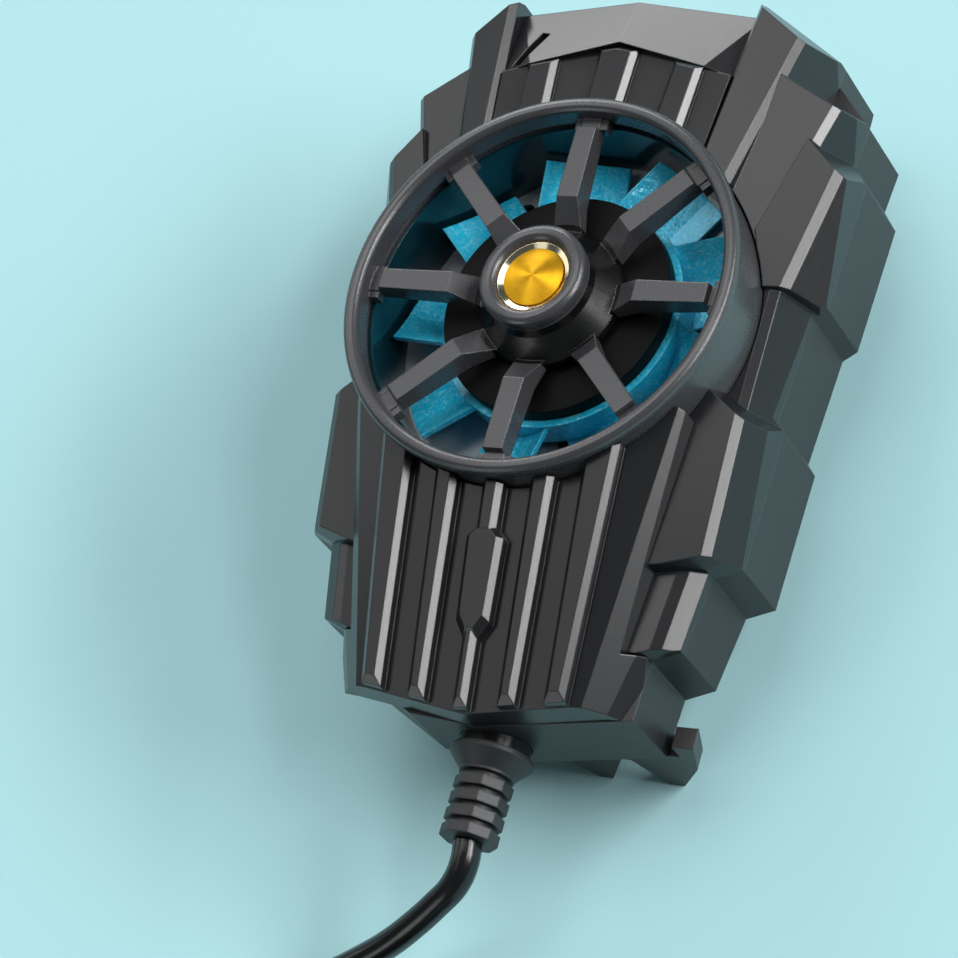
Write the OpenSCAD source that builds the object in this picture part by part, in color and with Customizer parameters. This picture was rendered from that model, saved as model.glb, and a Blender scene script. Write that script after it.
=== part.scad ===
// Clip-on phone cooler: an angular housing with a ducted fan, a cooling plate
// on the phone side, a sprung clamp and a captive USB lead.
// Front is +Z, the phone side is -Z, the lead leaves toward -Y.
// The origin is the middle of the soft face that touches the phone.

/* [Housing outline] */
// Fan axis to the top end, on the centre line
top_end = 42; // [41:0.5:44]
// Fan axis to the cord end, on the centre line
cord_end = 50.2; // [49.6:0.2:52]
// Half width at the first armour step
half_a = 24; // [23.6:0.1:24.8]
// Half width at the second armour step
half_b = 29.3; // [29:0.1:30]
// Half width at the third armour step, the widest place
half_c = 30.8; // [30.4:0.1:31.6]
// Half width between the third and the fourth step
half_mid = 28.4; // [28.2:0.1:28.9]
// Half width at the fourth armour step
half_d = 28.7; // [28.4:0.1:29.4]
// Half width at the fifth armour step
half_e = 24.8; // [24.6:0.1:25.4]
// Half width of the narrow tail
half_tail = 19.9; // [19.8:0.1:20.4]

/* [Housing heights] */
// Phone face to the flat back of the housing
back_gap = 1.5; // [1.3:0.1:1.8]
// Thickness of the back wall
floor_t = 1.7; // [1.5:0.1:1.9]
// Thickness of the side walls
wall = 2; // [1.6:0.1:2.2]
// Height of the seam between the back shell and the front
seam_z = 12; // [11.8:0.1:12.4]
// Height of the front face beside the fan ring, at the top
face_z = 24.5; // [24:0.1:25]
// Height of the front face where the sloping half begins
slope_z = 25; // [24.6:0.1:25.3]
// Height of the fold in the side walls above the seam
fold_rise = 0.7; // [0.3:0.1:1.2]
// Fall of the sloping half, in mm for each mm of length
slope_rate = 0.27; // [0.25:0.01:0.28]

/* [Front ribs] */
// Depth of the channels between the upper ribs
upper_step = 1.2; // [0.8:0.1:1.6]
// Depth of the channels between the lower ribs
lower_step = 1.9; // [1.4:0.1:2.2]
// Width of the bevel along each rib and armour plate
bevel = 0.7; // [0.3:0.05:0.9]

/* [Fan guard] */
// Outer diameter of the guard ring
ring_d = 50; // [49.6:0.1:50.6]
// Height of the guard ring's top
ring_top = 27.5; // [27.3:0.1:28]
// Bore of the guard ring
ring_bore = 46.2; // [46:0.1:46.3]
// Outer diameter of the guard's skirt
skirt_d = 48.8; // [48.4:0.1:49.2]
// Number of guard spokes
spokes = 8; // [6:1:10]
// Width of a spoke
spoke_w = 2.5; // [2:0.1:3]
// Diameter of the trim ring on the hub
hub_d = 13.4; // [13:0.1:14]
// Bore of the trim ring on the hub
hub_bore = 9.2; // [9:0.1:9.6]

/* [Fan] */
// Number of blades
blades = 9; // [6:1:9]
// Diameter over the blade tips
tip_d = 44.2; // [42:0.1:44.4]
// Outer diameter of the coloured hub band
band_d = 30.6; // [30:0.1:31]
// Thickness of the coloured hub band
band_t = 0.9; // [0.8:0.1:1]
// Height of the rotor's top
rotor_top = 21.5; // [21.2:0.1:21.6]
// Height of the rotor's lower edge
rotor_low = 15.8; // [15.6:0.1:16]
// Height of the coloured band's top
band_top = 19.5; // [18.8:0.1:20]
// Sweep of the blades from the radius
sweep = 24; // [10:1:30]
// Thickness of a blade
blade_t = 0.9; // [0.7:0.1:1.2]
// Shaft diameter
shaft_d = 2; // [1.6:0.1:2.4]

/* [Cooling stack] */
// Size of the soft pad across the phone
pad_x = 34; // [32:0.2:34.4]
// Size of the soft pad along the housing
pad_y = 26; // [24:0.2:27.4]
// Thickness of the soft pad
pad_t = 0.6; // [0.5:0.1:0.8]
// Size of the cold plate across the phone
plate_x = 34.8; // [34.4:0.1:35]
// Size of the cold plate along the housing
plate_y = 28; // [27.4:0.1:28.2]
// Width of the cold plate's flange on each side
flange = 1.4; // [1:0.1:1.5]
// Thickness of the cold plate's flange
flange_t = 0.8; // [0.6:0.1:1]
// Side of the square thermoelectric module
cell = 25; // [22:0.5:26]
// Thickness of the thermoelectric module
cell_t = 3.2; // [3:0.1:3.3]
// Number of heat sink fins
fins = 13; // [9:1:15]
// Thickness of a heat sink fin
fin_t = 0.7; // [0.5:0.1:0.9]

/* [Control board] */
// Size of the board across the housing
board_w = 24; // [20:0.5:26]
// Size of the board along the housing
board_l = 18; // [16:0.5:18.5]
// Thickness of the board
board_t = 1; // [0.8:0.1:1.6]
// Fan axis to the board's far edge
board_far = 41.5; // [41:0.1:42]

/* [Clamp] */
// Travel of the sliding jaw
travel = 19; // [10:0.5:19]
// Fan axis to the inner face of the sliding jaw, closed
jaw_y = 17.6; // [17.4:0.1:17.8]
// Fan axis to the inner face of the fixed jaw
fixed_y = 44.6; // [44:0.1:45]
// Reach of both jaws past the phone face
jaw_reach = 8; // [7.6:0.1:8.4]
// Thickness of a jaw
jaw_t = 2.8; // [2.4:0.1:2.9]
// Half width of the sliding jaw
jaw_half = 11.5; // [9:0.1:11.8]
// Thickness of the sliding plate
slide_t = 1.6; // [1.4:0.1:1.8]
// Half width over the sliding plate's arms
arm_out = 22.2; // [22:0.1:22.4]
// Width of an arm
arm_w = 2.7; // [2.4:0.1:2.8]

/* [Clamp springs] */
// Length of a spring with the clamp closed
spring_l = 15; // [14:0.5:16]
// Outer diameter of a spring
spring_d = 3.4; // [3:0.1:3.5]
// Wire of a spring
wire_d = 0.5; // [0.4:0.05:0.6]
// Turns of a spring
turns = 11; // [9:1:12]

/* [Lead] */
// Diameter of the lead
lead_d = 3.5; // [3.2:0.1:3.6]
// Height of the lead's axis where it leaves the housing
lead_z = 6.2; // [6:0.1:6.4]
// Number of ribs on the strain relief
relief_ribs = 4; // [3:1:4]
// Diameter over the flats of the relief's ribs
relief_d = 6.6; // [6:0.1:7]
// Whole loops in the stored coil
loops = 8; // [6:1:9]
// Radius of the coil's outer loop
coil_r = 28; // [28:0.5:30]
// Distance from each loop of the coil to the next
loop_pitch = 4; // [3.95:0.01:4.1]

/* [Plug] */
// Width of the plug's moulded body
plug_w = 15.4; // [14:0.1:16]
// Length of the plug's moulded body
plug_l = 24; // [20:0.5:28]
// Thickness of the plug's moulded body
plug_t = 8; // [7.6:0.1:8.4]

/* [Hidden] */
$fn = 96;
eps = 0.01;
fit = 0.3;

// Heights of the stack, from the phone outward
floor_top = back_gap + floor_t;
flange_top = floor_top + flange_t;
cell_top = flange_top + cell_t;
sink_base_t = 1.4;
sink_top = 12.6;
plate_z = 13.1;
plate_t = 0.8;
plate_top = plate_z + plate_t;
slide_z = floor_top + fit;
slide_top = slide_z + slide_t;
ring_r = ring_d / 2;
skirt_r = skirt_d / 2;
skirt_t = 1;
collar_r = 4.3;
board_z = 5.4;
foot_z = 0.2;
seat_z = 16.2;
seat_r = ring_r + 0.3;
shroud_r = ring_bore / 2 - 0.3;
shroud_t = 0.5;

// Outline of the right side, from the top centre round to the cord end
right_side = [[0, top_end], [16.4, top_end - 0.4], [half_a, 38.6],
    [half_a, 36], [half_b, 30.3], [half_b - 0.5, 25],
    [half_c, 22.5], [half_c - 0.8, 6], [half_mid, 4.6],
    [half_mid - 0.9, -9.2], [half_d, -10.6], [half_d - 0.5, -28.1],
    [half_e, -29.5], [half_e - 1.4, -38.8], [half_tail, -40.3],
    [half_tail - 0.4, 2.6 - cord_end], [0, -cord_end]];
function flip(p) = [for (i = [len(p) - 1:-1:0]) [-p[i].x, p[i].y]];
function inner(p) = [for (i = [1:len(p) - 2]) p[i]];
outline = concat(right_side, flip(inner(right_side)));

// The back shell has its left corner at the cord end cut off
cut_side = concat([for (i = [1:14]) right_side[i]], [[half_tail - 0.1, -43.4], [9, 0.9 - cord_end]]);
shell_outline = concat(right_side, flip(cut_side));

// Corners where the front pieces meet
chevron_mid = 34.3;
chevron_side = 30.7;
channel_low = [14.2, 19];
channel_mid = [15.3, chevron_side];
channel_top = [16.4, top_end - 0.4];
block_top = [21.5, -13.9];
block_low = [17.6, -41.1];
tail_edge = [16.1, 2.3 - cord_end];

screw_top = [25.4, 26];
screw_low = [16.2, -41];
screw_r = 1;

function unit(v) = v / norm(v);
function turn(v) = [-v.y, v.x];
// A closed outline drawn in by d; its points run clockwise
function inset(p, d) = [for (i = [0:len(p) - 1])
    let (a = p[(i + len(p) - 1) % len(p)], b = p[i], c = p[(i + 1) % len(p)],
        m = -turn(unit(b - a)), n = -turn(unit(c - b)))
    b + d * (m + n) / (1 + m * n)];
function mirror_pts(p) = [for (q = p) [-q.x, q.y]];

// Everything on one side of the plane through three points: the side that
// holds the point keep, which is far below unless it is given
deep = [0, 0, -500];
module under(p, q, r, keep = deep, size = 140) {
    n0 = cross(q - p, r - p);
    n = n0 * (keep - p) > 0 ? -n0 : n0;
    translate(p)
        rotate([0, acos(n.z / norm(n)), atan2(n.y, n.x)])
            translate([-size / 2, -size / 2, -size])
                cube(size);
}

// The same for all of the listed planes
module under_all(planes, keep = deep) {
    intersection_for(c = planes)
        under(c[0], c[1], c[2], keep);
}

// The part of v that is square to the direction e
function square_to(v, e) = unit(v - e * (v * e));
// The plane that leads from a top edge a-b out to a lower edge p-q: it meets
// the lower edge at one end and stays outside it at the other
function wall_planes(a, b, p, q) =
    let (n0 = cross(b - a, p - a), n = n0.z < 0 ? -n0 : n0)
    n * (q - a) > 0 ? [[a, b, q]] : [[a, b, p]];

// An armour plate over a footprint: its top holds the edge a-b, the wall runs
// from there out to corners p and q of the outline, and a bevel lies between
module plate(foot, a, b, inside, p, q, cuts = []) {
    low = [for (c = [p, q]) [c.x, c.y, seam_z + fold_rise]];
    walls = wall_planes(a, b, low[0], low[1]);
    e = unit(b - a);
    u = square_to(inside - a, e) * bevel;
    w = square_to(walls[0][2] - a, e) * bevel;
    keep = (a + b) / 2 * 0.8 + inside * 0.2 - [0, 0, 4];
    intersection() {
        translate([0, 0, seam_z])
            linear_extrude(30 - seam_z)
                polygon(foot);
        under_all(concat([[a, b, inside], [a + u, b + u, a + w]], walls, cuts), keep);
    }
}

// The stepped armour on the right, as overlapping plates
module armour_plates() {
    // First plate, beside the upper channel
    plate([[12, 18], [12, 41.7], channel_top, right_side[2], right_side[3], [22, 16]],
        [22.3, 36.7, 21.4], [18.5, 18, 22.5], [14.2, 22, 24.3], right_side[2], right_side[3],
        [[[16.3, 40.5, 23.8], [22.3, 36.7, 21.4], [half_a + 0.2, 39, seam_z]],
            [[15, 19, 23.9], [17.2, 41.6, 23.5], [14.2, 19, 23]]]);
    // Second plate
    plate([[17, 18], [20, 34], right_side[3], right_side[4], right_side[5], [24, 8]],
        [28.1, 28.8, 19.4], [22.7, 10.2, 19.3], [21.9, 31.5, 21.4], right_side[4], right_side[5],
        [[[21.9, 31.5, 21.4], [28.1, 28.8, 19.4], [half_b + 0.2, 30.6, seam_z]]]);
    // Third plate, the widest
    plate([[22, 12], [26, 24.5], right_side[5], right_side[6], right_side[7], right_side[8], [24, 4.6]],
        [30, 20.5, 18.5], [26.6, 5.8, 17.5], [27.7, 22.5, 19.5], right_side[6], right_side[7],
        [[[27.7, 22.5, 19.5], [30, 20.5, 18.5], [half_c + 0.2, 22.8, seam_z]],
            [[26.6, 5.8, 17.5], [22.9, 5.2, 18.5], [half_c - 1, 5.4, seam_z]]]);
    // Low stretch between the third and the fourth plate
    plate([[23, 9], [27, 9], right_side[7], right_side[8], right_side[9], right_side[10], [23, -12]],
        [25.5, 5.5, 17.5], [25.3, -9, 17.3], [24.6, 4, 17.5], right_side[8], right_side[9]);
    // Fourth plate
    plate([[19, -8.2], [27, -8.4], right_side[9], right_side[10], right_side[11], right_side[12],
        [16, -31.5], [16, -18]],
        [26.6, -12.6, 20], [25.7, -28.7, 17.2], [18.6, -31.1, 17.9], right_side[10], right_side[11],
        [[[21.8, -8.8, 20.4], [26.6, -12.6, 20], [half_d + 0.2, -10.3, seam_z]],
            [[25.7, -28.7, 17.2], [18.6, -31.1, 17.9], [half_d - 0.5, -28.8, seam_z]]]);
    // Fifth plate, the lowest
    plate([[15.8, -34], [17, -26], [25.4, -26], right_side[12], right_side[13], right_side[14], [15.8, -40.3]],
        [22.3, -30.6, 15.2], [21, -39.4, 14.2], [18.8, -31, 15.6], right_side[12], right_side[13],
        [[[21, -39.4, 14.2], [18, -40.6, 14.4], [half_e - 1.2, -39.2, seam_z]]]);
}

module armour_solid() {
    difference() {
        armour_plates();
        // Room for the guard's skirt and its seat
        translate([0, 0, seat_z])
            cylinder(h = 40, r = skirt_r + 0.25);
        translate([0, 0, seam_z - 1])
            cylinder(h = seat_z - seam_z + 1.1, r = seat_r + 0.1);
        // The centre pieces stand inboard of these lines
        translate([0, 0, seam_z - 1])
            linear_extrude(30)
                polygon([[-5, 17], channel_low, channel_mid, channel_mid + 2.5 * (channel_top - channel_mid), [-5, 58]]);
        translate([0, 0, seam_z - 1])
            linear_extrude(30)
                polygon([[-5, -60], [half_tail + 4, -60], [half_tail + 4, -40.3], [half_tail, -40.3],
                    block_low, block_top, [18, -13], [-5, -13]]);
        // Pilot hole of a shell screw
        translate([screw_top.x, screw_top.y, seam_z - 1])
            cylinder(h = 4, r = screw_r * 0.8);
    }
}

module armour_right() {
    color("#4b4a4d") armour_solid();
}

module armour_left() {
    color("#4b4a4d") mirror([1, 0, 0]) armour_solid();
}

// Frame of the sloping half: its plane lies level after this turn
slope_angle = atan(slope_rate);
function slope_at(y) = slope_z + slope_rate * (y + 22);

// Height of a rib's top at a place along the housing
function rib_z(y, level) = level ? face_z : slope_at(y);
function on_rib(p, level, drop = 0) = [p.x, p.y, rib_z(p.y, level) - drop];

// A raised rib over a convex footprint, bevelled all round
module rib(foot, level = false) {
    n = len(foot);
    intersection() {
        translate([0, 0, seam_z + 2])
            linear_extrude(20)
                polygon(foot);
        under(on_rib([0, -22], level), on_rib([10, -22], level), on_rib([0, -50], level));
        under_all([for (i = [0:n - 1])
            let (a = foot[i], b = foot[(i + 1) % n], in = -turn(unit(b - a)) * bevel)
            [on_rib(a, level, bevel), on_rib(b, level, bevel), on_rib(a, level) + [in.x, in.y, 0]]]);
    }
}

// Plan of the front's centre block, in the sloping half
block_plan = [[0, -13], [18, -13], block_top, block_low, [half_tail, -40.3],
    [half_tail - 0.4, 2.6 - cord_end], tail_edge, [0, -cord_end]];
full_block = concat(block_plan, flip(inner(block_plan)));
// The cord end of the block as a line in plan, and the ribs that stop on it
function end_y(x) = 0.15 - cord_end + abs(x) * 2.3 / tail_edge.x;
low_ribs = [
    [[4.8, -21], [7.8, -21], [6.95, end_y(7)], [4.75, end_y(4.8)]],
    [[11.2, -19], [15.6, -18], [13.2, end_y(13.2)], [10.6, end_y(10.6)]]];
centre_ribs = [
    [[-1.35, -23], [1.35, -23], [1.25, -31], [-1.25, -31]],
    [[-1.2, -29.6], [1.2, -29.6], [2.4, -30.8], [2.15, -40.2], [0.9, -42.2], [-0.9, -42.2],
        [-2.15, -40.2], [-2.4, -30.8]],
    [[-0.95, -41], [0.95, -41], [0.9, end_y(0.9)], [-0.9, end_y(0.9)]]];
upper_ribs = [
    [[-2.3, 20], [-2.6, 33.6], [0, 34.1], [2.6, 33.6], [2.3, 20]],
    [[6.9, 20], [7.8, 32.3], [11.7, 31.4], [11, 20]],
    [[-11, 20], [-11.7, 31.4], [-7.8, 32.3], [-6.9, 20]]];

module front_cover() {
    color("#454447") difference() {
        union() {
            // Sloping block with its shoulders
            intersection() {
                translate([0, 0, seam_z])
                    linear_extrude(20)
                        polygon(full_block);
                under([0, -22, slope_z - lower_step], [10, -22, slope_z - lower_step],
                    [0, -50, slope_at(-50) - lower_step]);
                under_all([for (s = [-1, 1]) each [
                    [[15.6 * s, -22, slope_z - lower_step], [13.4 * s, -50, slope_at(-50) - lower_step],
                        [block_top.x * s, block_top.y, slope_at(block_top.y) - 3.4]],
                    [[block_top.x * s, block_top.y, slope_at(block_top.y) - 3.9],
                        [block_low.x * s, block_low.y, slope_at(block_low.y) - 4.1],
                        [(block_top.x - bevel) * s, block_top.y, slope_at(block_top.y) - 3.2]],
                    [[block_low.x * s, block_low.y, slope_at(block_low.y) - 3.6],
                        [tail_edge.x * s, tail_edge.y, slope_at(tail_edge.y) - 3.3],
                        [half_tail * s, -44, seam_z - 0.5]]]]);
            }
            for (s = [0, 1])
                mirror([s, 0, 0])
                    for (foot = low_ribs)
                        rib(foot);
            for (foot = centre_ribs)
                rib(foot);
            // Level channel between the first armour plates
            translate([0, 0, seam_z])
                linear_extrude(face_z - upper_step - seam_z)
                    polygon([[-channel_low.x, 19], [-channel_mid.x, chevron_side], [0, chevron_mid],
                        channel_mid, channel_low]);
            for (foot = upper_ribs)
                rib(foot, true);
            // Seat that carries the guard and ties both ends together
            translate([0, 0, seam_z])
                cylinder(h = seat_z - seam_z, r = seat_r);
        }
        // Bore for the guard's skirt, with a lip under it
        translate([0, 0, seat_z])
            cylinder(h = 20, r = skirt_r + 0.25);
        translate([0, 0, seam_z - 1])
            cylinder(h = 20, r = shroud_r + shroud_t + 0.1);
        // Hollow under the sloping block
        intersection() {
            translate([0, 0, seam_z - 1])
                linear_extrude(20)
                    polygon([[-17, -26.8], [17, -26.8], [15, -39], [13, -39], [13, 2.4 - cord_end + wall],
                        [-13, 2.4 - cord_end + wall], [-13, -39], [-15, -39]]);
            under([0, -22, slope_z - lower_step - 2], [10, -22, slope_z - lower_step - 2],
                [0, -50, slope_at(-50) - lower_step - 2]);
            translate([-30, -60, seam_z - 1])
                cube([60, 60, 5.6]);
        }
        for (s = [-1, 1])
            translate([screw_low.x * s, screw_low.y, seam_z - 1])
                cylinder(h = 4, r = screw_r * 0.8);
    }
}

// Smooth folded end between the first armour plates
module end_cap() {
    color("#a3a2a4") difference() {
        intersection() {
            translate([0, 0, seam_z])
                linear_extrude(20)
                    polygon([[0, chevron_mid], channel_mid, channel_top, [0, top_end],
                        [-channel_top.x, channel_top.y], [-channel_mid.x, channel_mid.y]]);
            under_all([for (s = [-1, 1]) each [
                [[0, chevron_mid, face_z], [0, top_end, face_z - 2.3], [14 * s, 31, face_z - 0.9]],
                [[15.2 * s, chevron_side, face_z - 1.6], [11.6 * s, top_end, face_z - 3],
                    [16.4 * s, top_end, face_z - 4.4]],
                [[0, top_end - 0.8, face_z - 2.3], [13 * s, top_end - 1.7, face_z - 2.3],
                    [0, top_end, seam_z]]]]);
        }
        // Slanted slot beside the left plate
        translate([0, 0, face_z - 3.4])
            linear_extrude(5)
                polygon([[-14.4, 31.6], [-13.2, 31.6], [-10.9, 36.6], [-12.1, 36.9]]);
    }
}

// Tray that closes the phone side and holds the clamp
module back_shell() {
    color("#39383b") difference() {
        union() {
            difference() {
                translate([0, 0, back_gap])
                    linear_extrude(seam_z - back_gap)
                        polygon(shell_outline);
                translate([0, 0, floor_top])
                    linear_extrude(seam_z)
                        polygon(inset(shell_outline, wall));
            }
            for (s = [-1, 1]) {
                for (p = [screw_top, screw_low])
                    translate([p.x * s, p.y, back_gap])
                        cylinder(h = seam_z - back_gap, r = 2.4);
                // Hook over each arm of the sliding plate
                translate([s > 0 ? arm_out + fit : -28, 11.5, back_gap])
                    cube([28 - arm_out - fit, 3, slide_top + fit + 1 - back_gap]);
                translate([s > 0 ? arm_out - 2 : -28, 11.5, slide_top + fit])
                    cube([30 - arm_out, 3, 1]);
                // Posts under the control board
                translate([10 * s - 1.5, -40, back_gap])
                    cube([3, 14, board_z - back_gap]);
            }
        }
        // Window for the cold plate
        translate([-plate_x / 2 - 0.2, -plate_y / 2 - 0.2, 0])
            cube([plate_x + 0.4, plate_y + 0.4, floor_top + 1]);
        // Slot for the neck of the sliding jaw
        translate([-jaw_half - 0.4, jaw_y - 0.3, 0])
            cube([2 * jaw_half + 0.8, travel + jaw_t + 0.6, floor_top + 0.1]);
        // Slot in the top wall for the sliding plate, with air slots above it
        translate([-14.9, 30, slide_z - 0.2])
            cube([29.8, 20, slide_t + 0.5]);
        for (x = [-12:4:12])
            translate([x - 1.1, 30, slide_top + 1.6])
                cube([2.2, 20, seam_z - slide_top - 3]);
        // Counterbored holes of the shell screws
        for (s = [-1, 1])
            for (p = [screw_top, screw_low])
                translate([p.x * s, p.y, 0]) {
                    cylinder(h = 20, r = screw_r + 0.15);
                    cylinder(h = back_gap + 1.4, r = 2.05);
                }
        // Pilot holes of the fixed jaw's screws
        for (x = jaw_screw_x)
            translate([x, jaw_screw_y, 0])
                cylinder(h = floor_top + 1, r = screw_r * 0.8);
        // Bore for the lead's collar
        translate([0, -cord_end + 6, lead_z])
            rotate([90, 0, 0])
                cylinder(h = 10, r = collar_r + 0.05);
    }
}

// Half-round top of a ring, from its bore to its outside
function arch(low_r, high_r, top, rise) = [for (a = [0:22.5:180])
    [(low_r + high_r) / 2 - (high_r - low_r) / 2 * cos(a), top - rise + rise * sin(a)]];

// Ring, skirt, spokes and centre boss in one moulding
module fan_guard() {
    color("#4e4d50") {
        rotate_extrude()
            polygon(concat(arch(ring_bore / 2, ring_r, ring_top, 0.9),
                [[ring_r, ring_top - 1.5], [skirt_r + 0.1, ring_top - 1.9],
                    [skirt_r, ring_top - 2.3], [skirt_r, seat_z], [skirt_r - skirt_t, seat_z],
                    [skirt_r - skirt_t, ring_top - 3.1], [ring_bore / 2, ring_top - 3.1]]));
        for (i = [0:spokes - 1])
            rotate([0, 0, 360 * i / spokes])
                spoke();
        rotate_extrude()
            polygon([[0, rotor_top + 0.5], [9, rotor_top + 0.5], [9, rotor_top + 1.5], [6.9, 26],
                [hub_d / 2 - 0.3, ring_top + 0.1], [0, ring_top + 0.1]]);
    }
}

// One spoke: level from the rim, then bent down to the boss
module spoke() {
    intersection() {
        linear_extrude(40)
            polygon([[8.4, -spoke_w * 0.76], [12, -spoke_w * 0.55], [ring_bore / 2 + 0.2, -spoke_w / 2],
                [ring_bore / 2 + 0.2, spoke_w / 2], [12, spoke_w * 0.55], [8.4, spoke_w * 0.76]]);
        translate([0, 20, 0])
            rotate([90, 0, 0])
                linear_extrude(40)
                    polygon([[8.4, rotor_top + 0.6], [12, rotor_top + 1.4], [ring_bore / 2 + 0.2, ring_top - 3.6],
                        [ring_bore / 2 + 0.2, ring_top - 2.2], [21.6, ring_top - 2.2], [21.4, ring_top - 1.3],
                        [12.1, ring_top - 1.5], [8.4, rotor_top + 1.9]]);
    }
    translate([21.7, -spoke_w * 0.85, ring_top - 3.8])
        cube([ring_bore / 2 - 21.5, spoke_w * 1.7, 1.4]);
}

module hub_trim() {
    color("#5a595c") rotate_extrude()
        polygon(concat(arch(hub_bore / 2, hub_d / 2, ring_top + 1.7, 0.9),
            [[hub_d / 2, ring_top + 0.1], [hub_bore / 2, ring_top + 0.1]]));
}

bezel_r = hub_bore / 2 - 0.05;
badge_r = 3.75;

module hub_bezel() {
    color("#e6e4df") rotate_extrude()
        polygon([[badge_r, ring_top + 0.1], [bezel_r, ring_top + 0.1], [bezel_r, ring_top + 0.8],
            [badge_r, ring_top + 0.45]]);
}

// Domed badge, left plain
module hub_badge() {
    dome = 16;
    color("#e0a81c") intersection() {
        translate([0, 0, ring_top + 0.1])
            cylinder(h = 3, r = badge_r - 0.02);
        translate([0, 0, ring_top + 1.1 - dome])
            sphere(r = dome);
    }
}

module fan_shroud() {
    color("#0f3a42") difference() {
        union() {
            translate([0, 0, plate_z])
                cylinder(h = ring_top - 4 - plate_z, r = shroud_r + shroud_t);
        }
        translate([0, 0, plate_z - 1])
            cylinder(h = 20, r = shroud_r);
        translate([0, 0, plate_z - 1])
            cylinder(h = plate_t + 1, r = shroud_r + 0.25);
    }
}

// Bright plate that carries the motor, with holes and air slots
module fan_plate() {
    color("#b9bbbd") difference() {
        union() {
            translate([0, 0, plate_z])
                cylinder(h = plate_t, r = shroud_r + 0.2);
            translate([0, 0, plate_z])
                cylinder(h = 4.6, r = 3.6);
        }
        translate([0, 0, plate_z - 1])
            cylinder(h = 10, r = 2.6);
        for (a = [36:90:306])
            rotate([0, 0, a])
                translate([20.3, 0, plate_z - 1])
                    cylinder(h = 3, r = 1.1);
        for (a = [0:30:330])
            rotate([0, 0, a + 8])
                translate([12.6, -0.8, plate_z - 1])
                    cube([6, 1.6, 3]);
    }
}

module bearing() {
    color("#a8873f") translate([0, 0, plate_z])
        difference() {
            cylinder(h = 6.2, r = 2.58);
            translate([0, 0, -1])
                cylinder(h = 9, r = shaft_d / 2 + 0.03);
        }
}

poles = 6;
pole_r = band_d / 2 - band_t - 2.8;
core_z = plate_top + 1.4;
core_t = 3;

module stator_core() {
    color("#6d6f72") translate([0, 0, core_z])
        difference() {
            union() {
                cylinder(h = core_t, r = pole_r - 6.2);
                for (i = [0:poles - 1])
                    rotate([0, 0, 360 * i / poles]) {
                        translate([pole_r - 7.6, -1.1, 0])
                            cube([7, 2.2, core_t]);
                        intersection() {
                            translate([pole_r - 2, -3.6, 0])
                                cube([4, 7.2, core_t]);
                            cylinder(h = core_t, r = pole_r);
                        }
                    }
            }
            translate([0, 0, -1])
                cylinder(h = core_t + 2, r = 3.62);
        }
}

module stator_coils() {
    color("#b4652c") for (i = [0:poles - 1])
        rotate([0, 0, 360 * i / poles])
            difference() {
                translate([pole_r - 5.4, -2.1, core_z - 0.6])
                    cube([3.2, 4.2, core_t + 1.2]);
                translate([pole_r - 6, -1.12, core_z - 0.02])
                    cube([5, 2.24, core_t + 0.04]);
            }
}

module motor_board() {
    color("#1f5b3a") translate([0, 0, plate_top])
        difference() {
            cylinder(h = 0.6, r = 10.6);
            translate([0, 0, -1])
                cylinder(h = 3, r = 3.62);
        }
}

// Section of a blade: it climbs to its leading edge ever more steeply
blade_line = [[-9.4, rotor_low - 0.4], [-6.6, rotor_low], [-4, rotor_low + 0.9], [-1.8, rotor_low + 2.2],
    [0, band_top - 0.1]];

// Coloured hub band with swept blades
module impeller() {
    color("#1fa5c9") {
        difference() {
            translate([0, 0, rotor_low])
                cylinder(h = band_top - rotor_low, r = band_d / 2);
            translate([0, 0, rotor_low - 1])
                cylinder(h = 20, r = band_d / 2 - band_t);
        }
        difference() {
            intersection() {
                for (i = [0:blades - 1])
                    rotate([0, 0, 360 * i / blades + 40])
                        translate([band_d / 2 - 1, 0, 0])
                            rotate([90, 0, 90 - sweep])
                                linear_extrude(10)
                                    polygon(concat(blade_line, [for (k = [len(blade_line) - 1:-1:0])
                                        blade_line[k] - [0, blade_t]]));
                translate([0, 0, rotor_low - 0.8])
                    cylinder(h = band_top - rotor_low + 0.7, r = tip_d / 2);
            }
            translate([0, 0, rotor_low - 2])
                cylinder(h = 20, r = band_d / 2 - band_t / 2);
        }
    }
}

cup_r = band_d / 2 - band_t - 0.02;

module rotor_cup() {
    color("#161618") difference() {
        translate([0, 0, rotor_low])
            cylinder(h = rotor_top - rotor_low - 0.1, r = cup_r);
        translate([0, 0, rotor_low - 1])
            cylinder(h = rotor_top - rotor_low - 0.1, r = cup_r - 1);
        translate([0, 0, rotor_low])
            cylinder(h = 20, r = shaft_d / 2 + 0.01);
    }
}

module magnet_ring() {
    color("#3b3b3d") translate([0, 0, rotor_low + 0.1])
        difference() {
            cylinder(h = 4.2, r = cup_r - 1.02);
            translate([0, 0, -1])
                cylinder(h = 7, r = cup_r - 2);
        }
}

module fan_shaft() {
    color("#c9cbcd") translate([0, 0, plate_z + 0.3])
        cylinder(h = rotor_top - 0.2 - plate_z - 0.3, r = shaft_d / 2);
}

// Finned sink between the module and the fan
module heat_sink() {
    span = 2 * 18;
    color("#b4b7ba") {
        difference() {
            translate([-18, -14, cell_top])
                cube([span, 28, sink_base_t]);
            for (x = [-15.2, 15.2])
                translate([x, 0, 0])
                    cylinder(h = 20, r = 0.8);
        }
        for (i = [0:fins - 1])
            translate([-18 + (span - fin_t) * i / (fins - 1), -14, cell_top + sink_base_t - eps])
                difference() {
                    cube([fin_t, 28, sink_top - cell_top - sink_base_t + eps]);
                    if (abs(-18 + (span - fin_t) * i / (fins - 1) + fin_t / 2) > 12.4
                        && abs(-18 + (span - fin_t) * i / (fins - 1) + fin_t / 2) < 17)
                        translate([-1, 11.8, -0.2])
                            cube([3, 4.4, 8]);
                }
    }
}

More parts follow.
